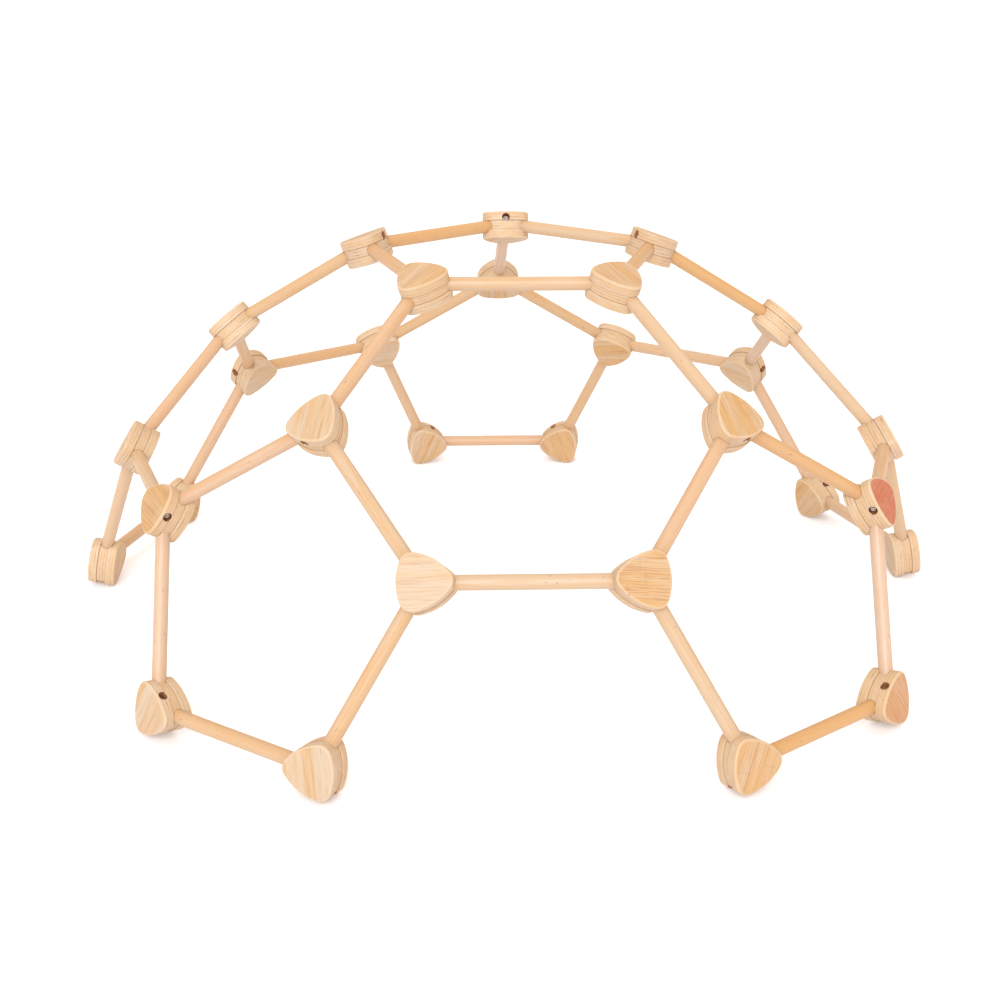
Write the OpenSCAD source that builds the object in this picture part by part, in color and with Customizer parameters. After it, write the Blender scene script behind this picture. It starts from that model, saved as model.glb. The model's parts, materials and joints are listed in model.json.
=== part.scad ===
// Dome climber: the upper half of a truncated icosahedron, built from round wooden rods
// and rounded three-cornered hub blocks. Every hub is three boards glued into one block.
// Six pentagon frames are glued up from five hubs and five rods each. Ten loose rods,
// bolted through the hubs into threaded inserts, join the frames into the dome.

/* [Dome] */
// Distance between the centres of two neighbouring hubs
edge_len = 300; // [200:5:500]

/* [Rods] */
// Diameter of every rod
rod_d = 22; // [16:0.5:32]
// Distance from a hub's centre to the end of a glued rod
rod_stop = 20; // [14:1:32]
// Radial clearance that the glue fills around a rod and around an insert
glue_gap = 0.1; // [0.05:0.05:0.5]

/* [Hubs] */
// Width of a hub, from the tip of a corner to the middle of the side opposite
hub_w = 80; // [64:1:120]
// Radius of a hub's three corners
corner_r = 18; // [12:0.5:26]
// Radius of a hub's three bulging sides
side_r = 85; // [70:1:150]
// Thickness of the outer board
outer_t = 16; // [10:1:24]
// Thickness of the core board
core_t = 16; // [10:1:24]
// Thickness of the inner board
inner_t = 16; // [10:1:24]
// How far the edge of the core board stands back from the other two
core_inset = 2.2; // [0.4:0.1:4]
// Depth below the outer face at which the rods' axes cross
axis_depth = 18; // [12:1:30]
// Gap between a hub and the shaped end of a bolted rod
seat_gap = 0.2; // [0.1:0.05:0.6]

/* [Bolts] */
// Thread diameter of a bolt
bolt_d = 6; // [5:0.5:8]
// Diameter of a bolt's head
head_d = 10; // [8:0.5:13]
// Height of a bolt's head
head_h = 6; // [4:0.5:8]
// Width across the flats of the hexagon socket
key_w = 5; // [3:0.5:6]
// Depth of the hexagon socket
key_depth = 3; // [2:0.5:4]
// Diametral clearance of a bolt in its hole
bolt_gap = 0.6; // [0.3:0.1:1.5]
// Diameter of the counterbore around a bolt's head
counterbore_d = 14; // [12:0.5:18]
// Depth of the top of a bolt's head below the hub's side
head_sink = 8.5; // [2:0.5:14]
// Chamfer at a bolt's tip
tip_chamfer = 0.8; // [0.2:0.1:1.5]

/* [Inserts] */
// Outer diameter of a threaded insert
insert_d = 9; // [8:0.5:12]
// Length of a threaded insert
insert_len = 15; // [10:1:25]
// Distance from the tip of the hub's corner to the near end of the insert
insert_sink = 1; // [0.5:0.5:5]
// Length of bolt that turns into an insert
thread_grip = 11; // [6:1:20]
// Radial clearance between a bolt and its insert
thread_gap = 0.1; // [0.05:0.05:0.3]

/* [Hidden] */

// Frames are numbered anticlockwise from above, starting at the back.
BACK = 0;
LEFT = 1;
FRONT_LEFT = 2;
FRONT_RIGHT = 3;
RIGHT = 4;
// The sides of a frame as seen by somebody who stands outside the dome.
TO_RIGHT = 1;
TO_LEFT = -1;

bamboo = [0.86, 0.70, 0.49];
beech = [0.90, 0.75, 0.55];
steel = [0.72, 0.72, 0.74];
brass = [0.78, 0.62, 0.30];

function unit(a) = a / norm(a);
function polar(r, a) = [r * cos(a), r * sin(a)];
function part_way(a, b, t) = a + (b - a) * t;

// The dome comes from an icosahedron with edges three rods long. Each of its corners is
// cut off a third of the way along its edges, which leaves a pentagon there.
ico_r = 3 * edge_len * sin(72);
ico_top = [0, 0, ico_r];
function ico_ring(az, z) = concat(polar(2 * ico_r / sqrt(5), az), [z]);
function ico_upper(k) = ico_ring(90 + 72 * k, ico_r / sqrt(5));
function ico_lower(k) = ico_ring(126 + 72 * k, -ico_r / sqrt(5));

// A hub is its own centre and the centre that its bolted rod points to, both measured
// from the centre of the sphere that the hubs lie on. A foot hub points at nothing,
// because the lower half of the ball isn't built.
function hub_on(a, b) = [part_way(a, b, 1 / 3), part_way(a, b, 2 / 3)];
function top_hub(k) = hub_on(ico_top, ico_upper(k));
function peak_hub(k) = hub_on(ico_upper(k), ico_top);
function shoulder_hub(k, side) = hub_on(ico_upper(k), ico_upper(k + side));
function foot_hub(k, side) =
  hub_on(ico_upper(k), ico_lower(side == TO_RIGHT ? k : k - 1));
function side_frame(k) = [
  peak_hub(k),
  shoulder_hub(k, TO_RIGHT),
  foot_hub(k, TO_RIGHT),
  foot_hub(k, TO_LEFT),
  shoulder_hub(k, TO_LEFT)
];
function top_frame() = [for (k = [0:4]) top_hub(k)];

// Seen from a hub, every rod dips below the hub's plane by the same angle, and the two
// glued rods leave at an equal angle to either side of the bolted one.
dip = asin(edge_len / 2 / norm(top_hub(BACK)[0]));
spread = acos((cos(120) - pow(sin(dip), 2)) / pow(cos(dip), 2));

// Plan shape of a hub: three corner circles, joined by three arcs that touch them. The
// centre of a side's arc lies on the axis of the corner opposite, farther out by arc_out
// than the centre of that corner's circle.
arc_out = side_r + corner_r - hub_w;
corner_at =
  (sqrt(12 * pow(side_r - corner_r, 2) - 3 * pow(arc_out, 2)) - 3 * arc_out) / 6;
arc_at = corner_at + arc_out;
half_arc = atan2(corner_at * sin(60), arc_at + corner_at / 2);
// The sides lie a hair inside the corner circles where the two meet, so that they cross.
tuck = 0.002;
tip_at = corner_at + corner_r;
side_at = hub_w - tip_at;

// Heights of the board joints above the crossing point of the rods' axes.
outer_top = axis_depth;
core_top = outer_top - outer_t;
inner_top = core_top - core_t;
inner_bottom = inner_top - inner_t;

// Distances from a hub's centre along the axis of its bolt.
seat_at = side_at / cos(dip) - head_sink - head_h;
insert_at = tip_at / cos(dip) + insert_sink;
bolt_end = insert_at + thread_grip;

// How far a hub reaches from its centre in a direction given in the hub's own axes.
function off_corner(a) = abs(a - 120 * round(a / 120));
function plan_reach(a) =
  off_corner(a) <= 60 - half_arc ? corner_at * cos(off_corner(a)) + corner_r
                                 : side_r - arc_at * cos(60 - off_corner(a));
function out_of(h) = unit(h[0]);
function along(h) = unit(h[1] - h[0] - out_of(h) * ((h[1] - h[0]) * out_of(h)));
function across(h) = cross(out_of(h), along(h));
function plan_part(h, d) = [d * along(h), d * across(h)];
function hub_reach(h, d) =
  norm(plan_part(h, d)) * plan_reach(atan2(plan_part(h, d)[1], plan_part(h, d)[0]))
  + (d * out_of(h)) * (d * out_of(h) > 0 ? outer_top : inner_bottom);

// The origin is the middle of the footprint, on the floor that the feet stand on.
foot_hubs = [for (k = [0:4], side = [TO_LEFT, TO_RIGHT]) foot_hub(k, side)];
back_edge = max([for (h = foot_hubs) h[0][1] + hub_reach(h, [0, 1, 0])]);
front_edge = min([for (h = foot_hubs) h[0][1] - hub_reach(h, [0, -1, 0])]);
floor_z = min([for (h = foot_hubs) h[0][2] - hub_reach(h, [0, 0, -1])]);
dome_shift = [0, -(back_edge + front_edge) / 2, -floor_z];

// Moves a piece from a hub's own axes to its place: x towards the bolted rod, z outwards.
module at_hub(h) {
  x = along(h);
  y = across(h);
  z = out_of(h);
  p = h[0] + dome_shift;
  multmatrix([
    [x[0], y[0], z[0], p[0]],
    [x[1], y[1], z[1], p[1]],
    [x[2], y[2], z[2], p[2]],
    [0, 0, 0, 1]
  ])
    children();
}

// Turns +z to the direction in which a rod leaves a hub, at an angle a from the bolted rod.
module towards_rod(a) rotate([0, 0, a]) rotate([0, 90 + dip, 0]) children();

// Moves a piece to the line from hub a to hub b, with z = 0 at hub a.
module on_edge(a, b) {
  z = unit(b[0] - a[0]);
  x = unit(cross(z, a[0] + b[0]));
  y = cross(z, x);
  p = a[0] + dome_shift;
  multmatrix([
    [x[0], y[0], z[0], p[0]],
    [x[1], y[1], z[1], p[1]],
    [x[2], y[2], z[2], p[2]],
    [0, 0, 0, 1]
  ])
    children();
}

module hub_plan(grow = 0) {
  for (k = [0:2]) {
    a = polar(corner_at, 120 * k + 120);
    b = polar(corner_at, 120 * k + 240);
    intersection() {
      translate(polar(arc_at, 120 * k)) circle(r = side_r - tuck + grow, $fn = 360);
      polygon([
        polar(corner_at / 2, 120 * k),
        a,
        a + polar(2 * hub_w, 120 * k + 180 - half_arc),
        b + polar(2 * hub_w, 120 * k + 180 + half_arc),
        b
      ]);
    }
    translate(a) circle(r = corner_r + grow, $fn = 90);
  }
}

module board(bottom, top, grow = 0) {
  translate([0, 0, bottom]) linear_extrude(top - bottom) hub_plan(grow);
}

// What is drilled out of a hub: two rod sockets and the stepped bolt hole.
module hub_holes() {
  for (a = [-spread, spread])
    towards_rod(a)
      translate([0, 0, rod_stop])
        cylinder(d = rod_d + 2 * glue_gap, h = hub_w, $fn = 96);
  towards_rod(0)
    translate([0, 0, -hub_w])
      cylinder(d = bolt_d + bolt_gap, h = 2 * hub_w, $fn = 48);
  towards_rod(0)
    translate([0, 0, -hub_w])
      cylinder(d = counterbore_d, h = hub_w - seat_at, $fn = 72);
}

module hub(h) {
  color(bamboo)
    at_hub(h)
      difference() {
        union() {
          board(core_top, outer_top);
          board(inner_top, core_top, -core_inset);
          board(inner_bottom, inner_top);
        }
        hub_holes();
      }
}

// The space that a hub takes out of the end of a bolted rod, with its gap all round.
module hub_seat() {
  board(core_top - seat_gap, outer_top + hub_w, seat_gap);
  board(inner_top, core_top, seat_gap - core_inset);
  board(inner_bottom - hub_w, inner_top + seat_gap, seat_gap);
}

module glued_rods(hubs) {
  for (i = [0:4])
    color(beech)
      on_edge(hubs[i], hubs[(i + 1) % 5])
        translate([0, 0, rod_stop])
          cylinder(d = rod_d, h = edge_len - 2 * rod_stop, $fn = 96);
}

module link_rod(a, b) {
  color(beech)
    difference() {
      on_edge(a, b)
        translate([0, 0, corner_at])
          cylinder(d = rod_d, h = edge_len - 2 * corner_at, $fn = 96);
      for (h = [a, b]) {
        at_hub(h) hub_seat();
        at_hub(h)
          towards_rod(0)
            cylinder(d = insert_d + 2 * glue_gap, h = insert_at + insert_len, $fn = 72);
      }
    }
}

module bolt(h) {
  reach = seat_at + bolt_end;
  color(steel)
    at_hub(h)
      towards_rod(0)
        translate([0, 0, -seat_at - head_h])
          difference() {
            union() {
              cylinder(d = head_d, h = head_h, $fn = 72);
              cylinder(d = bolt_d, h = head_h + reach - tip_chamfer, $fn = 48);
              translate([0, 0, head_h + reach - tip_chamfer])
                cylinder(
                  d1 = bolt_d,
                  d2 = bolt_d - 2 * tip_chamfer,
                  h = tip_chamfer,
                  $fn = 48
                );
            }
            translate([0, 0, -1])
              cylinder(d = key_w / cos(30), h = key_depth + 1, $fn = 6);
          }
}

module insert(h) {
  color(brass)
    at_hub(h)
      towards_rod(0)
        translate([0, 0, insert_at])
          difference() {
            cylinder(d = insert_d, h = insert_len, $fn = 72);
            translate([0, 0, -1])
              cylinder(d = bolt_d + 2 * thread_gap, h = insert_len + 2, $fn = 48);
          }
}

module spoke(k) link_rod(top_hub(k), peak_hub(k));
module side_link(k) link_rod(shoulder_hub(k, TO_RIGHT), shoulder_hub(k + 1, TO_LEFT));

module shoulder_bolts() {
  for (k = [0:4], side = [TO_LEFT, TO_RIGHT]) bolt(shoulder_hub(k, side));
}

module shoulder_inserts() {
  for (k = [0:4], side = [TO_LEFT, TO_RIGHT]) insert(shoulder_hub(k, side));
}

hub(top_hub(BACK));  // hub_top_back
hub(top_hub(LEFT));  // hub_top_left
hub(top_hub(FRONT_LEFT));  // hub_top_front_left
hub(top_hub(FRONT_RIGHT));  // hub_top_front_right
hub(top_hub(RIGHT));  // hub_top_right

hub(peak_hub(BACK));  // hub_back_peak
hub(shoulder_hub(BACK, TO_LEFT));  // hub_back_shoulder_left
hub(shoulder_hub(BACK, TO_RIGHT));  // hub_back_shoulder_right
hub(foot_hub(BACK, TO_LEFT));  // hub_back_foot_left
hub(foot_hub(BACK, TO_RIGHT));  // hub_back_foot_right

hub(peak_hub(LEFT));  // hub_left_peak
hub(shoulder_hub(LEFT, TO_LEFT));  // hub_left_shoulder_left
hub(shoulder_hub(LEFT, TO_RIGHT));  // hub_left_shoulder_right
hub(foot_hub(LEFT, TO_LEFT));  // hub_left_foot_left
hub(foot_hub(LEFT, TO_RIGHT));  // hub_left_foot_right

hub(peak_hub(FRONT_LEFT));  // hub_front_left_peak
hub(shoulder_hub(FRONT_LEFT, TO_LEFT));  // hub_front_left_shoulder_left
hub(shoulder_hub(FRONT_LEFT, TO_RIGHT));  // hub_front_left_shoulder_right
hub(foot_hub(FRONT_LEFT, TO_LEFT));  // hub_front_left_foot_left
hub(foot_hub(FRONT_LEFT, TO_RIGHT));  // hub_front_left_foot_right

hub(peak_hub(FRONT_RIGHT));  // hub_front_right_peak
hub(shoulder_hub(FRONT_RIGHT, TO_LEFT));  // hub_front_right_shoulder_left
hub(shoulder_hub(FRONT_RIGHT, TO_RIGHT));  // hub_front_right_shoulder_right
hub(foot_hub(FRONT_RIGHT, TO_LEFT));  // hub_front_right_foot_left
hub(foot_hub(FRONT_RIGHT, TO_RIGHT));  // hub_front_right_foot_right

hub(peak_hub(RIGHT));  // hub_right_peak
hub(shoulder_hub(RIGHT, TO_LEFT));  // hub_right_shoulder_left
hub(shoulder_hub(RIGHT, TO_RIGHT));  // hub_right_shoulder_right
hub(foot_hub(RIGHT, TO_LEFT));  // hub_right_foot_left
hub(foot_hub(RIGHT, TO_RIGHT));  // hub_right_foot_right

glued_rods(top_frame());  // rods_top_frame
glued_rods(side_frame(BACK));  // rods_back_frame
glued_rods(side_frame(LEFT));  // rods_left_frame
glued_rods(side_frame(FRONT_LEFT));  // rods_front_left_frame
glued_rods(side_frame(FRONT_RIGHT));  // rods_front_right_frame
glued_rods(side_frame(RIGHT));  // rods_right_frame

spoke(BACK);  // link_top_to_back
spoke(LEFT);  // link_top_to_left
spoke(FRONT_LEFT);  // link_top_to_front_left
spoke(FRONT_RIGHT);  // link_top_to_front_right
spoke(RIGHT);  // link_top_to_right

side_link(BACK);  // link_back_to_left
side_link(LEFT);  // link_left_to_front_left
side_link(FRONT_LEFT);  // link_front_left_to_front_right
side_link(FRONT_RIGHT);  // link_front_right_to_right
side_link(RIGHT);  // link_right_to_back

for (k = [0:4]) bolt(top_hub(k));  // bolts_top_hubs
for (k = [0:4]) bolt(peak_hub(k));  // bolts_peak_hubs
shoulder_bolts();  // bolts_shoulder_hubs

for (k = [0:4]) insert(top_hub(k));  // inserts_top_hubs
for (k = [0:4]) insert(peak_hub(k));  // inserts_peak_hubs
shoulder_inserts();  // inserts_shoulder_hubs
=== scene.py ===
"""Looks of the dome climber: bamboo hubs, beech rods, steel bolts and brass inserts."""

import json
import math
import random

import bmesh
import bpy
import numpy as np
from mathutils import Matrix, Vector

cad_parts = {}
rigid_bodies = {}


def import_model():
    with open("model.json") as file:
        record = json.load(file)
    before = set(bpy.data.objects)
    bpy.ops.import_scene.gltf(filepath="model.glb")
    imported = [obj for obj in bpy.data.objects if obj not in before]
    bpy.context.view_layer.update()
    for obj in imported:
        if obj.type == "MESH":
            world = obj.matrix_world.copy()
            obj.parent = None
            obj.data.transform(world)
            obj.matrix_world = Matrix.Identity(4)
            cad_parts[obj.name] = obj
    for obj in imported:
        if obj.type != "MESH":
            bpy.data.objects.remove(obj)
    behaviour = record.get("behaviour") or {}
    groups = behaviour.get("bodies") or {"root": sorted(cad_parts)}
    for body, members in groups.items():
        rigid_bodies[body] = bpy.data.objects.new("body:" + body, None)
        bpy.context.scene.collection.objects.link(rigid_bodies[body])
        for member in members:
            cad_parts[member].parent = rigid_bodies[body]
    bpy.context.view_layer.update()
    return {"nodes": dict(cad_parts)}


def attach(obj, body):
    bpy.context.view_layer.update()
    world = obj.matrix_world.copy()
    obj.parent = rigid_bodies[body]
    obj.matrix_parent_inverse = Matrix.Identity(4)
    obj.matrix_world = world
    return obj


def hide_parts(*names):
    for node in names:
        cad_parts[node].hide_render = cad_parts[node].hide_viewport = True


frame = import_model()
rng = random.Random(20)

# ---------------------------------------------------------------- sizes, in millimetres

MM = 0.001
EDGE = 300.0
ROD_R, ROD_STOP = 11.0, 20.0
HUB_W, CORNER_R, SIDE_R = 80.0, 18.0, 85.0
OUTER_TOP, CORE_TOP, INNER_TOP, INNER_BOTTOM = 18.0, 2.0, -14.0, -30.0
BOARD, CORE_INSET = 16.0, 2.2
SEAT_GAP = 0.2
PLY = 5.3333
STRIP_W, KNUCKLES_APART = 19.0, 210.0
EASE = 3.0
SOCKET_GAP = 0.22
BOLT_R, HEAD_R, HEAD_H, HEAD_SINK = 3.0, 5.0, 6.0, 8.5
KEY_W, KEY_DEPTH = 5.0, 3.0
BOLT_HOLE_R, COUNTERBORE_R = 3.3, 7.0
INSERT_R, INSERT_LEN, INSERT_SINK, INSERT_GAP = 4.5, 15.0, 1, 0.1
THREAD_GRIP = 11
WAY_OUT = 90  # a cutter's length past anything that it cuts
SHIFT = Vector((0, -21.53696, -82.54665))

ICO_R = 3 * EDGE * math.sin(math.radians(72))


def ring(az, z):
    a = math.radians(az)
    r = 2 * ICO_R / math.sqrt(5)
    return Vector((r * math.cos(a), r * math.sin(a), z))


TOP = Vector((0, 0, ICO_R))
UPPER = [ring(90 + 72 * k, ICO_R / math.sqrt(5)) for k in range(5)]
LOWER = [ring(126 + 72 * k, -ICO_R / math.sqrt(5)) for k in range(5)]


def hub_on(a, b):
    return a.lerp(b, 1 / 3), a.lerp(b, 2 / 3)


FRAMES = ["back", "left", "front_left", "front_right", "right"]
HUBS = {}
for k, f in enumerate(FRAMES):
    HUBS[f"hub_top_{f}"] = hub_on(TOP, UPPER[k])
    HUBS[f"hub_{f}_peak"] = hub_on(UPPER[k], TOP)
    HUBS[f"hub_{f}_shoulder_right"] = hub_on(UPPER[k], UPPER[(k + 1) % 5])
    HUBS[f"hub_{f}_shoulder_left"] = hub_on(UPPER[k], UPPER[k - 1])
    HUBS[f"hub_{f}_foot_right"] = hub_on(UPPER[k], LOWER[k])
    HUBS[f"hub_{f}_foot_left"] = hub_on(UPPER[k], LOWER[k - 1])

DIP = math.asin(EDGE / 2 / HUBS["hub_top_back"][0].length)
SPREAD = math.acos((-0.5 - math.sin(DIP) ** 2) / math.cos(DIP) ** 2)
ARC_OUT = SIDE_R + CORNER_R - HUB_W
CORNER_AT = (math.sqrt(12 * (SIDE_R - CORNER_R) ** 2 - 3 * ARC_OUT**2) - 3 * ARC_OUT) / 6
ARC_AT = CORNER_AT + ARC_OUT
HALF_ARC = math.atan2(CORNER_AT * math.sin(math.pi / 3), ARC_AT + CORNER_AT / 2)
TIP_AT = CORNER_AT + CORNER_R
SEAT_AT = (HUB_W - TIP_AT) / math.cos(DIP) - HEAD_SINK - HEAD_H
INSERT_AT = TIP_AT / math.cos(DIP) + INSERT_SINK
BOLT_END = INSERT_AT + THREAD_GRIP


def placed(x, y, z, at):
    """A rigid transform in metres from three axes and a place in millimetres."""
    m = Matrix((x, y, z)).transposed().to_4x4()
    m.translation = at * MM
    return m


def hub_matrix(hub):
    at, to = hub
    z = at.normalized()
    x = (to - at) - z * (to - at).dot(z)
    x.normalize()
    return placed(x, z.cross(x), z, at + SHIFT)


def edge_matrix(a, b):
    z = (b - a).normalized()
    x = z.cross(a + b).normalized()
    return placed(x, z.cross(x), z, a + SHIFT)


def rod_way(angle):
    """The direction in which a rod leaves a hub, in the hub's own axes."""
    c = math.cos(DIP)
    return Vector((math.cos(angle) * c, math.sin(angle) * c, -math.sin(DIP)))


# ---------------------------------------------------------------- mesh tools


def outline(inset):
    """The hub's plan, three corner arcs joined by three flatter ones, moved in by inset."""
    points = []
    for k in range(3):
        # steps, how far out the arc's centre lies and in which direction, radius, middle, half
        for steps, at, towards, radius, middle, half in (
            (14, CORNER_AT, 120 * k, CORNER_R, 120 * k, math.pi / 3 - HALF_ARC),
            (18, ARC_AT, 120 * k + 240, SIDE_R, 120 * k + 60, HALF_ARC),
        ):
            t = math.radians(towards)
            for i in range(steps):
                a = math.radians(middle) - half + 2 * half * i / steps
                x = at * math.cos(t) + (radius - inset) * math.cos(a)
                y = at * math.sin(t) + (radius - inset) * math.sin(a)
                points.append(Vector((x, y)))
    return points


def loft(rings, name):
    """A closed mesh through rings of points, in millimetres, capped at both ends."""
    bm = bmesh.new()
    made = [[bm.verts.new(Vector(p) * MM) for p in r] for r in rings]
    n = len(made[0])
    for a, b in zip(made, made[1:]):
        for i in range(n):
            bm.faces.new((a[i], a[(i + 1) % n], b[(i + 1) % n], b[i]))
    bm.faces.new(made[-1])
    bm.faces.new(list(reversed(made[0])))
    bmesh.ops.recalc_face_normals(bm, faces=bm.faces)
    mesh = bpy.data.meshes.new(name)
    bm.to_mesh(mesh)
    bm.free()
    return bpy.data.objects.new(name, mesh)


def hub_rings(profile):
    return [[(p.x, p.y, z) for p in outline(inset)] for z, inset in profile]


def round_rings(profile, n, wave=0.0):
    """Rings about the z axis from (z, radius) pairs."""
    rings = []
    for z, r in profile:
        points = []
        for i in range(n):
            a = i * math.tau / n
            rr = r - (wave if i % 2 else 0.0)
            points.append((rr * math.cos(a), rr * math.sin(a), z))
        rings.append(points)
    return rings


def rod_cutter(way, start, end, radius, n, name):
    ob = loft(round_rings([(start, radius), (end, radius)], n), name)
    ob.matrix_world = way.to_track_quat("Z", "Y").to_matrix().to_4x4()
    return ob


def finished(ob, sharp):
    """The object's mesh with its modifiers, smooth shading and face weighted normals."""
    scene = bpy.context.scene.collection.objects
    mesh = bpy.data.meshes.new_from_object(ob.evaluated_get(bpy.context.evaluated_depsgraph_get()))
    out = bpy.data.objects.new(ob.name + "_out", mesh)
    scene.link(out)
    mesh.polygons.foreach_set("use_smooth", [True] * len(mesh.polygons))
    mesh.set_sharp_from_angle(angle=math.radians(sharp))
    mod = out.modifiers.new("normals", "WEIGHTED_NORMAL")
    mod.keep_sharp = True
    mod.weight = 60
    bpy.context.view_layer.update()
    got = bpy.data.meshes.new_from_object(
        out.evaluated_get(bpy.context.evaluated_depsgraph_get())
    )
    bpy.data.objects.remove(out)
    return got


def carved(body, cutters, sharp=32):
    """body with every cutter taken out of it."""
    scene = bpy.context.scene.collection.objects
    scene.link(body)
    for c in cutters:
        scene.link(c)
        mod = body.modifiers.new("cut", "BOOLEAN")
        mod.operation = "DIFFERENCE"
        mod.solver = "EXACT"
        mod.object = c
    bpy.context.view_layer.update()
    mesh = finished(body, sharp)
    for o in (body, *cutters):
        bpy.data.objects.remove(o)
    return mesh


def numbers(mesh):
    """Each corner's place in millimetres, its face's centre and its face's normal."""
    loops = np.empty(len(mesh.loops), int)
    mesh.loops.foreach_get("vertex_index", loops)
    co = np.empty(len(mesh.vertices) * 3)
    mesh.vertices.foreach_get("co", co)
    centre = np.empty(len(mesh.polygons) * 3)
    mesh.polygons.foreach_get("center", centre)
    normal = np.empty(len(mesh.polygons) * 3)
    mesh.polygons.foreach_get("normal", normal)
    total = np.empty(len(mesh.polygons), int)
    mesh.polygons.foreach_get("loop_total", total)
    which = np.repeat(np.arange(len(mesh.polygons)), total)
    return (
        co.reshape(-1, 3)[loops] / MM,
        centre.reshape(-1, 3)[which] / MM,
        normal.reshape(-1, 3)[which],
    )


def paint(mesh, name, values):
    layer = mesh.attributes.new(name, "FLOAT_VECTOR", "CORNER")
    layer.data.foreach_set("vector", np.ascontiguousarray(values, np.float32).ravel())


# ---------------------------------------------------------------- materials


class Net:
    """A material's node tree, built by short calls."""

    def __init__(self, name):
        self.mat = bpy.data.materials.new(name)
        self.mat.use_nodes = True
        self.tree = self.mat.node_tree
        self.shader = self.tree.nodes["Principled BSDF"]

    def add(self, kind, outlet=0, inputs=(), **props):
        node = self.tree.nodes.new(kind)
        for key, value in props.items():
            setattr(node, key, value)
        for key, value in dict(inputs).items():
            self.put(node.inputs[key], value)
        return node.outputs[outlet]

    def put(self, socket, value):
        if isinstance(value, bpy.types.NodeSocket):
            self.tree.links.new(value, socket)
        else:
            socket.default_value = value

    def math(self, operation, a, b=0.0, c=0.0):
        return self.add("ShaderNodeMath", operation=operation, inputs={0: a, 1: b, 2: c})

    def spread(self, value, low, high, to_low=0.0, to_high=1.0):
        """Maps low..high smoothly to to_low..to_high, and holds it there."""
        return self.add(
            "ShaderNodeMapRange",
            interpolation_type="SMOOTHSTEP",
            inputs={0: value, 1: low, 2: high, 3: to_low, 4: to_high},
        )

    def noise(self, vector, scale, detail=3.0, rough=0.55):
        return self.add(
            "ShaderNodeTexNoise",
            inputs={"Vector": vector, "Scale": scale, "Detail": detail, "Roughness": rough},
        )

    def vector(self, x, y, z):
        return self.add("ShaderNodeCombineXYZ", inputs={0: x, 1: y, 2: z})

    def parts(self, name):
        v = self.add("ShaderNodeAttribute", "Vector", attribute_name=name)
        node = self.tree.nodes.new("ShaderNodeSeparateXYZ")
        self.tree.links.new(v, node.inputs[0])
        return v, node.outputs

    def scaled(self, vector, by):
        return self.add(
            "ShaderNodeVectorMath", operation="MULTIPLY", inputs={0: vector, 1: by}
        )

    def mix(self, factor, a, b, blend="MIX"):
        node = self.tree.nodes.new("ShaderNodeMix")
        node.data_type = "RGBA"
        node.blend_type = blend
        self.put(node.inputs[0], factor)
        self.put(node.inputs[6], a if isinstance(a, bpy.types.NodeSocket) else (*a, 1))
        self.put(node.inputs[7], b if isinstance(b, bpy.types.NodeSocket) else (*b, 1))
        return node.outputs[2]

    def bump(self, height, strength, distance):
        return self.add(
            "ShaderNodeBump",
            inputs={"Height": height, "Strength": strength, "Distance": distance},
        )


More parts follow.
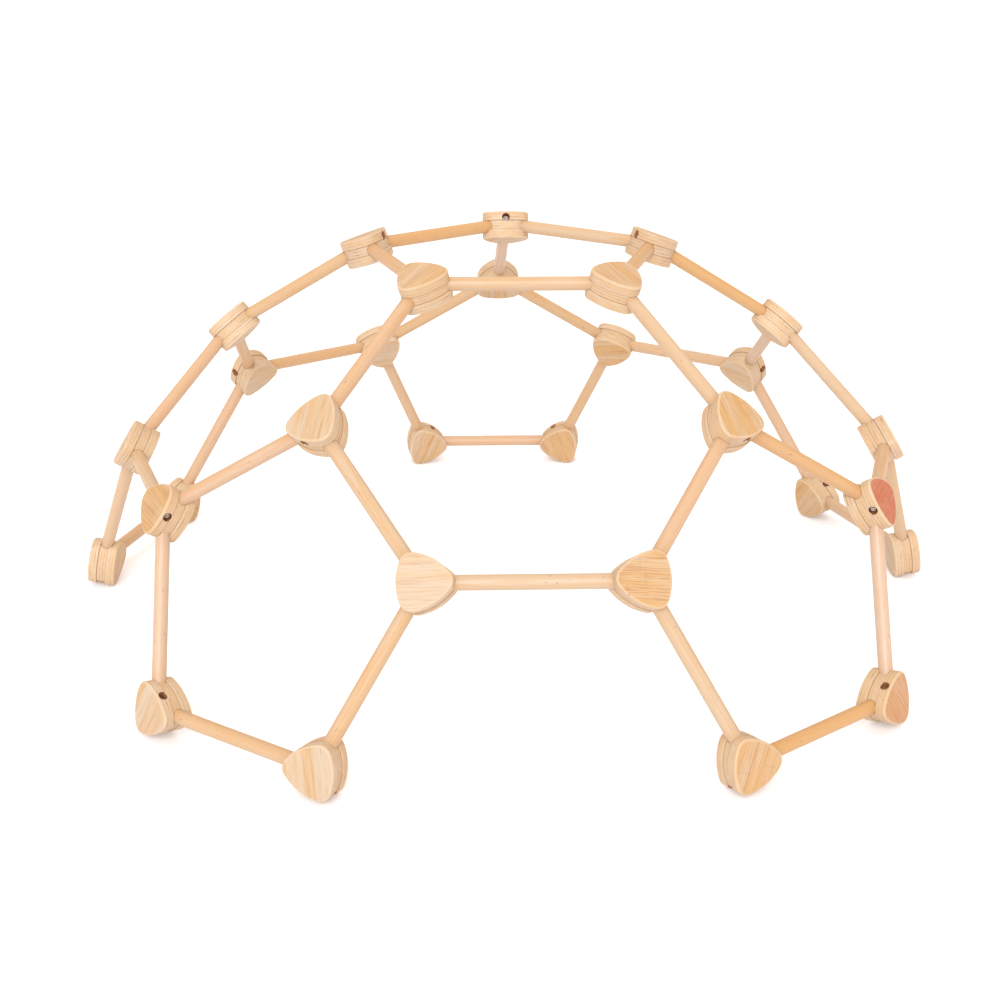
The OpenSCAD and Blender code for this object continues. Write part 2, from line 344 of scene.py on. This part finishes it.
def bamboo_material():
    """Boards of bamboo strips. grain is a point in its board, in mm, x along the fibres and z
    through the board. look is the board's tone, painted light on its eased rims and walls,
    and painted shade: up to 1 for a red-brown face, above it for the dark inside of a hole."""
    n = Net("bamboo")
    g, (u, v, w) = n.parts("grain")
    _, (tone, rim_and_wall_light, painted_shade) = n.parts("look")

    plies = n.math("DIVIDE", w, PLY)
    ply = n.math("FLOOR", plies)
    ply_rand = n.add("ShaderNodeTexWhiteNoise", noise_dimensions="1D", inputs={"W": ply})
    thirds = n.math("DIVIDE", n.math("ADD", ply, 0.5), 3.0)
    middle = n.math("COMPARE", n.math("FRACT", thirds), 0.5, 0.1)
    along = n.math("MULTIPLY_ADD", n.math("SUBTRACT", v, u), middle, u)
    across = n.math("MULTIPLY_ADD", n.math("SUBTRACT", u, v), middle, v)
    flat = n.vector(along, across, w)

    bow = n.noise(n.scaled(flat, (0.006, 0.03, 0.03)), 1.0, 1.0)
    bowed = n.math("MULTIPLY_ADD", bow, 3.0, across)
    strips = n.math("DIVIDE", n.math("MULTIPLY_ADD", ply_rand, STRIP_W, bowed), STRIP_W)
    strip_rand = n.add(
        "ShaderNodeTexWhiteNoise",
        noise_dimensions="2D",
        inputs={"Vector": n.vector(n.math("FLOOR", strips), ply, 0.0)},
    )
    side = n.math("ABSOLUTE", n.math("SUBTRACT", n.math("FRACT", strips), 0.5))
    seam = n.spread(side, 0.480, 0.497)

    offset = n.math("MULTIPLY", strip_rand, 400.0)
    own = n.vector(n.math("ADD", along, offset), bowed, n.math("ADD", w, offset))
    broad = n.noise(n.scaled(own, (0.010, 0.16, 0.16)), 1.0, 2.0)
    fibre = n.noise(n.scaled(own, (0.012, 0.50, 0.50)), 1.0, 4.0, 0.70)
    hair = n.noise(n.scaled(own, (0.016, 1.45, 1.45)), 1.0, 3.0, 0.65)
    streak = n.spread(fibre, 0.50, 0.66)
    thread = n.spread(hair, 0.52, 0.70)
    patch = n.noise(n.scaled(g, (0.020, 0.03, 0.03)), 1.0, 3.0)
    band = n.spread(n.noise(n.scaled(flat, (0.004, 0.055, 0.055)), 1.0, 1.0), 0.40, 0.60)

    knots = n.math("MULTIPLY_ADD", strip_rand, 7.0, n.math("DIVIDE", along, KNUCKLES_APART))
    knuckle_at = n.math("ABSOLUTE", n.math("SUBTRACT", n.math("FRACT", knots), 0.5))
    knuckle = n.spread(knuckle_at, 0.0, 0.014, 1.0, 0.0)

    in_ply = n.math("ABSOLUTE", n.math("SUBTRACT", n.math("FRACT", plies), 0.5))
    starved = n.noise(n.scaled(g, (0.035, 0.035, 0.80)), 1.0, 2.0)
    glued = n.spread(starved, 0.38, 0.56, 0.15, 1.0)
    glue = n.math("MULTIPLY", n.spread(in_ply, 0.38, 0.46), glued)
    crack = n.math("MULTIPLY", n.spread(in_ply, 0.37, 0.43), n.spread(starved, 0.618, 0.655))
    boards = n.math("DIVIDE", w, BOARD)
    in_board = n.math("ABSOLUTE", n.math("SUBTRACT", n.math("FRACT", boards), 0.5))
    # Dark band at the board joints: a dark glue joint, and on the core it sits in the groove's
    # corners as painted shade in the recess.
    joint = n.spread(in_board, 0.440, 0.490)
    speck = n.spread(n.noise(n.scaled(g, (0.16, 0.34, 0.34)), 1.0, 1.0, 0.5), 0.775, 0.81)

    mellow = n.math("MULTIPLY_ADD", strip_rand, 0.30, n.math("MULTIPLY", broad, 0.40))
    mellow = n.math("MULTIPLY_ADD", patch, 0.50, mellow)
    mellow = n.math("MULTIPLY_ADD", band, 0.38, mellow)
    mellow = n.math("MULTIPLY_ADD", middle, 0.12, mellow)
    mellow = n.math("MULTIPLY_ADD", ply_rand, 0.20, mellow)
    mellow = n.math("MULTIPLY_ADD", tone, 0.46, mellow)
    strong = n.math("MULTIPLY_ADD", tone, 0.55, 1.0)
    pale, honey = (0.452, 0.366, 0.266), (0.458, 0.284, 0.122)
    colour = n.mix(n.spread(mellow, 0.32, 1.40), pale, honey)
    for mask, weight, stain in (
        (streak, 0.72, (0.335, 0.168, 0.060)),
        (thread, 0.62, (0.265, 0.125, 0.045)),
    ):
        strength = n.math("MULTIPLY", n.math("MULTIPLY", mask, weight), strong)
        colour = n.mix(strength, colour, stain)
    for mask, weight, stain in (
        (knuckle, 0.18, (0.300, 0.160, 0.070)),
        # painted highlight on the eased rims and painted light on the side walls, in a paler colour
        (seam, 0.24, (0.280, 0.150, 0.065)),
        (rim_and_wall_light, 0.60, (0.512, 0.402, 0.280)),
        (glue, 0.55, (0.290, 0.140, 0.052)),
        # dark joint line, and painted shade in the groove corners
        (joint, 0.80, (0.170, 0.072, 0.028)),
        (crack, 0.85, (0.085, 0.036, 0.018)),
        (speck, 0.70, (0.160, 0.070, 0.032)),
    ):
        colour = n.mix(n.math("MULTIPLY", mask, weight), colour, stain)
    # Painted shade: a mottled red-brown on the outer faces listed as shaded, and a darker mottled
    # brown inside the counterbore and bolt hole.
    clouds = n.noise(n.scaled(g, (0.06, 0.10, 0.10)), 1.0, 4.0)
    mottle = n.spread(clouds, 0.50, 0.62, 0.0, 0.42)
    colour = n.mix(n.math("MULTIPLY", painted_shade, mottle), colour, (0.300, 0.190, 0.120))
    shade_tint = n.mix(n.spread(painted_shade, 1.15, 1.25), (0.93, 0.40, 0.29), (0.80, 0.50, 0.38))
    colour = n.mix(painted_shade, colour, n.mix(1.0, colour, shade_tint, "MULTIPLY"))

    rough = n.math("MULTIPLY_ADD", fibre, 0.22, 0.36)
    rough = n.math("MULTIPLY_ADD", thread, 0.10, rough)
    height = n.math("MULTIPLY_ADD", fibre, 0.5, n.math("MULTIPLY", hair, 0.35))
    height = n.math("SUBTRACT", height, n.math("MULTIPLY", seam, 0.5))
    height = n.math("SUBTRACT", height, n.math("MULTIPLY", glue, 0.5))
    height = n.math("SUBTRACT", height, crack)
    n.put(n.shader.inputs["Base Color"], colour)
    n.put(n.shader.inputs["Roughness"], rough)
    n.put(n.shader.inputs["Normal"], n.bump(height, 0.35, 0.0004))
    n.shader.inputs["Specular IOR Level"].default_value = 0.42
    return n.mat


def beech_material():
    """Turned rods. grain is a point in mm, x along the rod, y and z from the tree's heart;
    look is the rod's tone, how much darker it is near its ends by the hubs, and its pinkness."""
    n = Net("beech")
    g, (_, v, w) = n.parts("grain")
    _, (tone, darker_near_hubs, pink) = n.parts("look")

    bend = n.noise(n.scaled(g, (0.0035, 0.02, 0.02)), 1.0, 2.0)
    radius = n.math("SQRT", n.math("MULTIPLY_ADD", v, v, n.math("MULTIPLY", w, w)))
    rings = n.math("MULTIPLY_ADD", bend, 3.6, n.math("MULTIPLY", radius, 0.36))
    late = n.math("FRACT", rings)
    band = n.math("MULTIPLY", n.spread(late, 0.25, 0.92), n.spread(late, 0.92, 1.0, 1.0, 0.0))
    streak = n.noise(n.scaled(g, (0.010, 0.7, 0.7)), 1.0, 4.0, 0.62)
    fine = n.noise(n.scaled(g, (0.035, 2.6, 2.6)), 1.0, 3.0, 0.6)
    fleck = n.spread(n.noise(n.scaled(g, (0.30, 2.2, 2.2)), 1.0, 2.0, 0.5), 0.66, 0.74)
    mark = n.spread(n.noise(n.scaled(g, (0.11, 0.36, 0.36)), 1.0, 1.0, 0.5), 0.745, 0.79)
    broad = n.noise(n.scaled(g, (0.006, 0.05, 0.05)), 1.0, 2.0)

    mellow = n.math("MULTIPLY_ADD", band, 0.34, n.math("MULTIPLY", streak, 0.5))
    mellow = n.math("MULTIPLY_ADD", broad, 0.45, mellow)
    mellow = n.math("MULTIPLY_ADD", tone, 0.46, mellow)
    pale, orange = (0.448, 0.348, 0.244), (0.458, 0.262, 0.100)
    colour = n.mix(n.spread(mellow, 0.20, 1.15), pale, orange)
    for mask, weight, stain in (
        (pink, 0.45, (0.478, 0.345, 0.285)),
        (n.spread(fine, 0.50, 0.72), 0.34, (0.330, 0.180, 0.075)),
        (fleck, 0.34, (0.270, 0.140, 0.065)),
        (mark, 0.75, (0.130, 0.058, 0.028)),
        # darker, more orange wood near the rod ends, by the hubs
        (darker_near_hubs, 0.42, (0.400, 0.215, 0.085)),
    ):
        colour = n.mix(n.math("MULTIPLY", mask, weight), colour, stain)

    rough = n.math("MULTIPLY_ADD", streak, 0.20, 0.30)
    rough = n.math("MULTIPLY_ADD", fleck, 0.15, rough)
    height = n.math("MULTIPLY_ADD", fine, 0.5, n.math("MULTIPLY", streak, 0.5))
    height = n.math("SUBTRACT", height, n.math("MULTIPLY", fleck, 0.4))
    n.put(n.shader.inputs["Base Color"], colour)
    n.put(n.shader.inputs["Roughness"], rough)
    n.put(n.shader.inputs["Normal"], n.bump(height, 0.25, 0.0003))
    n.shader.inputs["Specular IOR Level"].default_value = 0.45
    return n.mat


def metal_material(name, bright, dull, rough):
    """Plated metal with fine turning marks and duller patches."""
    n = Net(name)
    at = n.add("ShaderNodeTexCoord", "Object")
    patch = n.noise(at, 260.0, 3.0)
    turned = n.noise(n.scaled(at, (900.0, 900.0, 5200.0)), 1.0, 2.0)
    n.put(n.shader.inputs["Base Color"], n.mix(n.spread(patch, 0.35, 0.7), bright, dull))
    n.put(n.shader.inputs["Roughness"], n.math("MULTIPLY_ADD", patch, 0.25, rough))
    n.put(n.shader.inputs["Normal"], n.bump(turned, 0.15, 0.0001))
    n.shader.inputs["Metallic"].default_value = 1.0
    return n.mat


BAMBOO = bamboo_material()
BEECH = beech_material()
# The steel's colours are darkened and browned: a painted reflection of the dark wooden bore around
# each bolt head.
STEEL = metal_material("steel_with_painted_reflection", (0.46, 0.40, 0.35), (0.28, 0.23, 0.19), 0.32)
BRASS = metal_material("brass", (0.74, 0.56, 0.28), (0.55, 0.38, 0.17), 0.30)


def piece(name, mesh, matrix, material, node):
    """Puts mesh in the scene in the place of a CAD node."""
    mesh.transform(matrix)
    ob = bpy.data.objects.new(name, mesh)
    bpy.context.scene.collection.objects.link(ob)
    mesh.materials.clear()
    mesh.materials.append(material)
    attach(ob, "root")
    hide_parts(node)
    return ob


# ---------------------------------------------------------------- hubs


def hub_body():
    """A hub without its holes: eased outer rims, and a core board set back behind two joints."""
    turns = [math.radians(18 * i) for i in range(6)]
    top = [(OUTER_TOP - EASE * (1 - math.cos(a)), EASE * (1 - math.sin(a))) for a in turns]
    joint = [(1.1, 0.0), (0.55, 0.12), (0.15, 0.5), (0.0, 1.0), (0.0, CORE_INSET)]
    face_inset = EASE + 1.2
    profile = [(OUTER_TOP, face_inset)]
    profile += top
    profile += [(CORE_TOP + z, inset) for z, inset in joint]
    profile += [(INNER_TOP - z, inset) for z, inset in reversed(joint)]
    profile += [(INNER_BOTTOM + OUTER_TOP - z, inset) for z, inset in reversed(top)]
    profile += [(INNER_BOTTOM, face_inset)]
    return loft(hub_rings(profile), "hub_body")


def hub_master():
    """A hub with its two sockets and its bolt hole, in its own axes."""
    cutters = [
        rod_cutter(rod_way(SPREAD), ROD_STOP, WAY_OUT, ROD_R + SOCKET_GAP, 72, "socket_a"),
        rod_cutter(rod_way(-SPREAD), ROD_STOP, WAY_OUT, ROD_R + SOCKET_GAP, 72, "socket_b"),
        rod_cutter(rod_way(0), -WAY_OUT, WAY_OUT, BOLT_HOLE_R, 32, "bolt_hole"),
        rod_cutter(rod_way(0), -WAY_OUT, -SEAT_AT, COUNTERBORE_R, 56, "counterbore"),
    ]
    return carved(hub_body(), cutters)


# How each hub's outer board lies: the turn of its fibres from the bolted rod in degrees,
# its tone from pale to honey, and how much painted shade, in red-brown, its outer face gets.
OUTER = {
    "hub_front_left_shoulder_right": (1, -0.65, 0.0),
    "hub_front_right_shoulder_left": (178, 0.5, 0.0),
    "hub_front_left_peak": (15, -0.3, 0.0),
    "hub_front_right_peak": (175, 0.3, 0.0),
    "hub_front_right_shoulder_right": (1, 0.0, 1.0),
    "hub_front_right_foot_left": (8, 0.1, 0.0),
    "hub_front_left_foot_right": (158, -0.5, 0.0),
    "hub_front_left_foot_left": (5, -0.5, 0.0),
    "hub_front_right_foot_right": (2, 0.45, 0.27),
    "hub_front_left_shoulder_left": (0, 0.45, 0.0),
    "hub_top_front_left": (175, 0.3, 0.0),
    "hub_top_front_right": (3, 0.25, 0.0),
}

TURN = 12  # degrees that a board may lie turned
HOLE_SHADE = 1.3  # the painted shade value that marks the inside of a hole and picks its dark brown

master = hub_master()
corner, centre, normal = numbers(master)
board_of = np.where(centre[:, 2] > CORE_TOP, 0, np.where(centre[:, 2] > INNER_TOP, 1, 2))
bottoms = np.array([CORE_TOP, INNER_TOP, INNER_BOTTOM])
tilt = np.abs(normal[:, 2])
at_end = (centre[:, 2] > OUTER_TOP - 0.5) | (centre[:, 2] < INNER_BOTTOM + 0.5)
end_face = (tilt > 0.999) & at_end
from_end = np.minimum(OUTER_TOP - corner[:, 2], corner[:, 2] - INNER_BOTTOM)
# The core's grain runs right to its board edges, so the dark joint band and its painted shade show
# in the groove; the trim keeps it off the outer and inner boards.
edge_trim = np.where(board_of == 1, 0.05, 0.9)
# Painted light: 1 across the middle of each eased rim as a painted highlight, 0.8 on the walls and
# every other face to paint them paler, 0 on the flat end faces.
rim_and_wall_light = np.where(end_face, 0.0, np.clip(1.3 - np.abs(from_end - 0.5 * EASE) / EASE, 0.80, 1))
outer_face = end_face & (board_of == 0)
bolt_way = np.array(rod_way(0))
on_bolt = centre @ bolt_way
off_bolt = np.linalg.norm(centre - on_bolt[:, None] * bolt_way, axis=1)
# the faces inside the counterbore and bolt hole, which get painted shade in dark brown
bored = (off_bolt < COUNTERBORE_R + 0.05) & (
    (np.abs(normal @ bolt_way) < 0.2) | (on_bolt > -SEAT_AT - 1)
)

for name, hub in HUBS.items():
    drawn = (rng.uniform(-TURN, TURN), rng.uniform(-0.5, 0.6), 0.0)
    turn, outer_tone, face_shade = OUTER.get(name, drawn)
    turns = np.radians([turn, rng.uniform(-TURN, TURN), rng.uniform(-TURN, TURN)])
    tones = np.array([outer_tone, rng.uniform(-0.3, 0.7), rng.uniform(-0.4, 0.6)])
    starts = np.array(
        [[rng.uniform(0, 4000), rng.uniform(0, 4000), BOARD * rng.randint(1, 60)] for _ in range(3)]
    )
    a = turns[board_of]
    grain = np.stack(
        [
            corner[:, 0] * np.cos(a) + corner[:, 1] * np.sin(a),
            corner[:, 1] * np.cos(a) - corner[:, 0] * np.sin(a),
            np.clip(corner[:, 2] - bottoms[board_of], edge_trim, BOARD - edge_trim),
        ],
        1,
    ) + starts[board_of]
    # Painted shade: dark brown inside the counterbore and bolt hole, red-brown on the outer faces
    # listed as shaded.
    painted_shade = np.where(bored, HOLE_SHADE, np.where(outer_face, face_shade, 0.0))
    look = np.stack([tones[board_of], rim_and_wall_light, painted_shade], 1)
    mesh = master.copy()
    mesh.name = f"bamboo_{name}"
    paint(mesh, "grain", grain)
    paint(mesh, "look", look)
    piece(f"bamboo_{name}", mesh, hub_matrix(hub), BAMBOO, name)
bpy.data.meshes.remove(master)

# ---------------------------------------------------------------- rods


# Rods whose wood stands out: the tone from pale to orange, and how pink.
RODS = {
    "beech_rod_front_right_frame_1": (0.85, 0.2),
    "beech_rod_front_right_frame_2": (-0.5, 1.0),
    "beech_rod_front_right_frame_3": (1.05, 0.0),
    "beech_rod_front_right_frame_4": (-0.25, 0.0),
    "beech_rod_front_right_frame_5": (0.35, 0.6),
    "beech_rod_front_left_frame_1": (-0.2, 0.0),
    "beech_rod_front_left_frame_2": (0.15, 0.0),
    "beech_rod_front_left_frame_3": (0.1, 0.0),
    "beech_rod_front_left_frame_4": (-0.2, 0.7),
    "beech_rod_front_left_frame_5": (0.2, 0.7),
    "beech_rod_top_frame_1": (0.75, 0.0),
    "beech_rod_top_frame_2": (0.6, 0.3),
    "beech_rod_top_frame_3": (-0.1, 0.0),
    "beech_rod_top_frame_4": (0.85, 0.2),
    "beech_rod_top_frame_5": (-0.1, 0.0),
    "beech_link_top_to_front_left": (0.4, 0.5),
    "beech_link_top_to_front_right": (-0.2, 0.0),
    "beech_link_front_left_to_front_right": (-0.35, 0.0),
    "beech_link_top_to_right": (0.85, 0.0),
    "beech_link_top_to_back": (0.0, 1.0),
}


def add_rod(name, base, matrix, node):
    """A copy of base with its own place in the tree, its own tone, and darker wood near its ends,
    by the hubs.
    """
    mesh = base.copy()
    mesh.name = name
    at, _, _ = numbers(mesh)
    a = rng.uniform(0, math.tau)
    heart = rng.uniform(25, 90)
    start = rng.uniform(0, 9000)
    tip = np.minimum(at[:, 2], EDGE - at[:, 2])
    y = at[:, 0] * math.cos(a) - at[:, 1] * math.sin(a) + heart
    z = at[:, 0] * math.sin(a) + at[:, 1] * math.cos(a)
    paint(mesh, "grain", np.stack([at[:, 2] + start, y, z], 1))
    # Darker near the ends: in full within 40 mm of a rod's end, fading out by 50 mm.
    darker_near_hubs = np.clip((50 - tip) / 10, 0, 1)
    drawn = (rng.uniform(-0.5, 0.7), rng.choice((0, 0.3, 0.8)))
    tone, pink = RODS.get(name, drawn)
    flat = np.ones(len(at))
    paint(mesh, "look", np.stack([flat * tone, darker_near_hubs, flat * pink], 1))
    piece(name, mesh, matrix, BEECH, node)


def rod_profile(start, end):
    """Heights and radii of a rod from start to end, with eased rims."""
    segments = 10
    ease = [(0.0, 1.2), (0.25, 0.55), (0.7, 0.12), (1.2, 0.0)]
    profile = [(start + z, ROD_R - r) for z, r in ease]
    for i in range(1, segments):
        profile.append((start + (end - start) * i / segments, ROD_R))
    profile += [(end - z, ROD_R - r) for z, r in reversed(ease)]
    return profile


def glued_rod():
    ob = loft(round_rings(rod_profile(ROD_STOP, EDGE - ROD_STOP), 64), "glued_rod")
    bpy.context.scene.collection.objects.link(ob)
    bpy.context.view_layer.update()
    mesh = finished(ob, 32)
    bpy.data.objects.remove(ob)
    return mesh


def seat_cutter(matrix, name):
    """The space of a hub, grown by its gap, in the rod's own axes."""
    over, side, core = 60, -SEAT_GAP, CORE_INSET - SEAT_GAP
    core_top, core_bottom = CORE_TOP - SEAT_GAP, INNER_TOP + SEAT_GAP
    profile = [(OUTER_TOP + over, side), (core_top, side), (core_top, core)]
    profile += [(core_bottom, core), (core_bottom, side), (INNER_BOTTOM - over, side)]
    ob = loft(hub_rings(profile), name)
    ob.matrix_world = matrix
    return ob


def link_rod():
    """A loose rod, its ends shaped to two hubs' corners and bored for the inserts."""
    a, b = HUBS["hub_top_back"], HUBS["hub_back_peak"]
    home = edge_matrix(a[0], b[0]).inverted()
    body = loft(round_rings(rod_profile(CORNER_AT, EDGE - CORNER_AT), 64), "link_rod")
    up = Vector((0, 0, 1))
    bore_end = INSERT_AT + INSERT_LEN
    cutters = [
        seat_cutter(home @ hub_matrix(a), "seat_a"),
        seat_cutter(home @ hub_matrix(b), "seat_b"),
        rod_cutter(up, -5, bore_end, INSERT_R + INSERT_GAP, 40, "bore_a"),
        rod_cutter(up, EDGE - bore_end, EDGE + 5, INSERT_R + INSERT_GAP, 40, "bore_b"),
    ]
    return carved(body, cutters)


rod_base = glued_rod()
rings_of_hubs = {"top": [f"hub_top_{f}" for f in FRAMES]}
for f in FRAMES:
    ends = ("peak", "shoulder_right", "foot_right", "foot_left", "shoulder_left")
    rings_of_hubs[f] = [f"hub_{f}_{e}" for e in ends]
for f, names in rings_of_hubs.items():
    for i in range(5):
        a, b = HUBS[names[i]][0], HUBS[names[(i + 1) % 5]][0]
        add_rod(f"beech_rod_{f}_frame_{i + 1}", rod_base, edge_matrix(a, b), f"rods_{f}_frame")

link_base = link_rod()
for k, f in enumerate(FRAMES):
    a, b = HUBS[f"hub_top_{f}"][0], HUBS[f"hub_{f}_peak"][0]
    add_rod(f"beech_link_top_to_{f}", link_base, edge_matrix(a, b), f"link_top_to_{f}")
    g = FRAMES[(k + 1) % 5]
    a, b = HUBS[f"hub_{f}_shoulder_right"][0], HUBS[f"hub_{g}_shoulder_left"][0]
    add_rod(f"beech_link_{f}_to_{g}", link_base, edge_matrix(a, b), f"link_{f}_to_{g}")
bpy.data.meshes.remove(rod_base)
bpy.data.meshes.remove(link_base)

# ---------------------------------------------------------------- bolts and inserts


def bolt_master():
    """A hexagon socket cap screw along +z, the top of its head at z = 0."""
    head = [(0.0, 3.6), (0.0, 4.35), (0.18, 4.72), (0.6, HEAD_R), (1.1, HEAD_R)]
    knurl = [(1.12, HEAD_R), (5.5, HEAD_R)]
    foot = [(5.55, HEAD_R), (5.85, 4.85), (HEAD_H, 4.6), (HEAD_H, 3.3), (HEAD_H + 0.4, BOLT_R)]
    length = HEAD_H + SEAT_AT + BOLT_END
    shank = [(length - 36, BOLT_R), (length - 35.5, BOLT_R - 0.1)]
    thread = []
    z = length - 35.0
    while z < length - 1.6:
        thread += [(z, BOLT_R), (z + 0.35, BOLT_R - 0.38), (z + 0.65, BOLT_R - 0.38)]
        z += 1.0
    tip = [(length - 0.8, 2.95), (length, 2.2)]
    rings = round_rings(head, 72) + round_rings(knurl, 72, 0.16) + round_rings(foot, 72)
    rings += round_rings(shank + thread + tip, 72)
    body = loft(rings, "bolt")
    r = KEY_W / 2 / math.cos(math.pi / 6)
    key = loft(round_rings([(-2, r), (0, r), (KEY_DEPTH, r), (KEY_DEPTH + 0.9, 0.3)], 6), "key")
    cone = loft(round_rings([(-0.5, r + 0.75), (0.25, r - 0.2), (0.5, 1.0)], 48), "mouth")
    return carved(body, [key, cone], 38)


bolt_base = bolt_master()
for k, f in enumerate(FRAMES):
    for kind, name in (
        ("top", f"hub_top_{f}"),
        ("peak", f"hub_{f}_peak"),
        ("shoulder", f"hub_{f}_shoulder_left"),
        ("shoulder", f"hub_{f}_shoulder_right"),
    ):
        way = rod_way(0)
        turn = Matrix.Rotation(rng.uniform(0, math.tau), 4, "Z")
        start = Matrix.Translation(way * (-(SEAT_AT + HEAD_H) * MM))
        local = start @ way.to_track_quat("Z", "Y").to_matrix().to_4x4() @ turn
        mesh = bolt_base.copy()
        mesh.name = f"bolt_{name[4:]}"
        home = hub_matrix(HUBS[name]) @ local
        piece(mesh.name, mesh, home, STEEL, f"bolts_{kind}_hubs")
bpy.data.meshes.remove(bolt_base)

for kind in ("top", "peak", "shoulder"):
    node = frame["nodes"][f"inserts_{kind}_hubs"]
    for s in node.material_slots:
        s.material = BRASS

# ---------------------------------------------------------------- floor, light and camera


def floor():
    """A pale round floor, a hair under the feet."""
    bm = bmesh.new()
    sides = 96
    rings = []
    for r in (1.0, 3.0, 9.0, 45.0):
        turns = [i * math.tau / sides for i in range(sides)]
        rings.append([bm.verts.new((r * math.cos(a), r * math.sin(a), -0.0002)) for a in turns])
    bm.faces.new(rings[0])
    for a, b in zip(rings, rings[1:]):
        for i in range(sides):
            bm.faces.new((a[i], b[i], b[(i + 1) % sides], a[(i + 1) % sides]))
    bmesh.ops.recalc_face_normals(bm, faces=bm.faces)
    mesh = bpy.data.meshes.new("floor")
    bm.to_mesh(mesh)
    bm.free()
    ob = bpy.data.objects.new("floor", mesh)
    bpy.context.scene.collection.objects.link(ob)
    n = Net("pale_floor")
    n.shader.inputs["Base Color"].default_value = (0.82, 0.84, 0.90, 1)
    n.shader.inputs["Emission Color"].default_value = (1.0, 0.93, 0.88, 1)
    n.shader.inputs["Emission Strength"].default_value = 0.14
    n.shader.inputs["Roughness"].default_value = 0.9
    n.shader.inputs["Specular IOR Level"].default_value = 0.0
    mesh.materials.append(n.mat)


def soft_light(name, way, spread, power, colour):
    """A broad, distant light that shines from the direction way."""
    light = bpy.data.lights.new(name, "SUN")
    light.angle = math.radians(spread)
    light.energy = power
    light.color = colour
    ob = bpy.data.objects.new(name, light)
    bpy.context.scene.collection.objects.link(ob)
    ob.location = Vector(way) * 5
    ob.rotation_euler = (-Vector(way)).to_track_quat("-Z", "Y").to_euler()


floor()
soft_light("key", (-0.20, -1.0, 0.66), 36, 2.30, (0.95, 1.0, 1.06))
soft_light("low", (0.05, -1.0, 0.05), 50, 0.80, (1.0, 0.92, 0.86))
soft_light("top", (0.0, 0.35, 1.0), 80, 1.15, (1.0, 0.99, 0.97))
soft_light("left", (-1.0, -0.42, 0.10), 70, 0.80, (1.0, 0.95, 0.89))
soft_light("right", (1.0, -0.42, 0.12), 70, 0.78, (1.0, 0.87, 0.76))

world = bpy.data.worlds.new("studio")
world.use_nodes = True
world.node_tree.nodes["Background"].inputs[0].default_value = (1.0, 0.81, 0.67, 1)
world.node_tree.nodes["Background"].inputs[1].default_value = 0.88
bpy.context.scene.world = world

YAW, PITCH, ROLL = 0.0371, 0.3452, 0.0040
EYE = Vector((-141.78, -2652.62, 1194.51))
level = Vector((math.sin(YAW), math.cos(YAW), 0))
ahead = level * math.cos(PITCH) - Vector((0, 0, math.sin(PITCH)))
right = ahead.cross(Vector((0, 0, 1))).normalized()
up = right.cross(ahead)
right_rolled = right * math.cos(ROLL) + up * math.sin(ROLL)
up_rolled = up * math.cos(ROLL) - right * math.sin(ROLL)
lens = bpy.data.cameras.new("camera")
lens.sensor_width = 36
lens.lens = 58.271
lens.shift_x = 0.01516
lens.shift_y = -0.03571
lens.clip_end = 200
camera = bpy.data.objects.new("camera", lens)
bpy.context.scene.collection.objects.link(camera)
camera.matrix_world = placed(right_rolled, up_rolled, -ahead, EYE)
bpy.context.scene.camera = camera
bpy.context.scene.view_settings.view_transform = "Standard"

bpy.context.view_layer.update()
